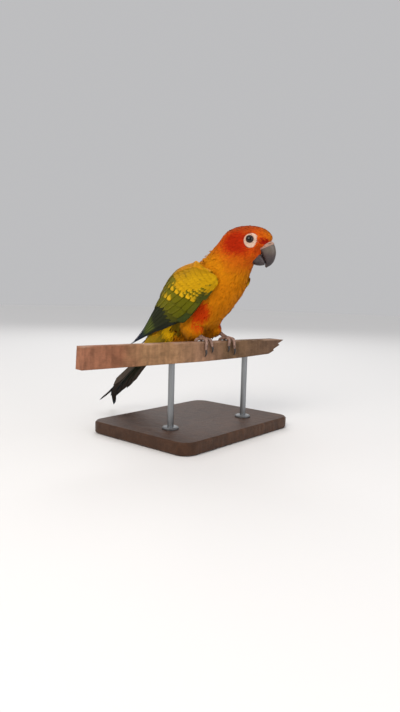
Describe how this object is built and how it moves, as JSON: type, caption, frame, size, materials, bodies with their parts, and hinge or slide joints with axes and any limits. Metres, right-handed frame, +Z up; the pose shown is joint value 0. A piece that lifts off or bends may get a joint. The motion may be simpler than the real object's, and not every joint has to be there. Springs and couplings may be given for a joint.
{
  "type": "sun conure",
  "caption": "Life-size still model of a sun conure gripping a cut length of broken lath, held up by a plain display stand.",
  "frame": {"origin": "centre of the flat underside of the display base, on the surface that the part stands on", "axes": "+Z up, +X the way the bird's body faces, +Y the bird's left side, along the longer side of the base"},
  "size_m": [0.225, 0.2444, 0.205],
  "materials": {
    "orange_plumage": "matte",
    "golden_plumage": "matte",
    "wing_plumage": "satin",
    "tail_plumage": "satin",
    "bill_horn": "satin",
    "eye": "gloss",
    "foot_skin": "matte",
    "lath_wood": "matte",
    "base_wood": "satin",
    "rod_steel": "satin"
  },
  "bodies": {
    "root": {"head": "orange_plumage", "neck": "golden_plumage", "torso": "golden_plumage", "tail": "tail_plumage", "wing_left": "wing_plumage", "wing_right": "wing_plumage", "thigh_left": "golden_plumage", "thigh_right": "golden_plumage", "bill_upper": "bill_horn", "bill_lower": "bill_horn", "eye_left": "eye", "eye_right": "eye", "foot_left": "foot_skin", "foot_right": "foot_skin", "lath": "lath_wood", "stand_base": "base_wood", "stand_rod_near": "rod_steel", "stand_rod_far": "rod_steel"}
  },
  "joints": []
}
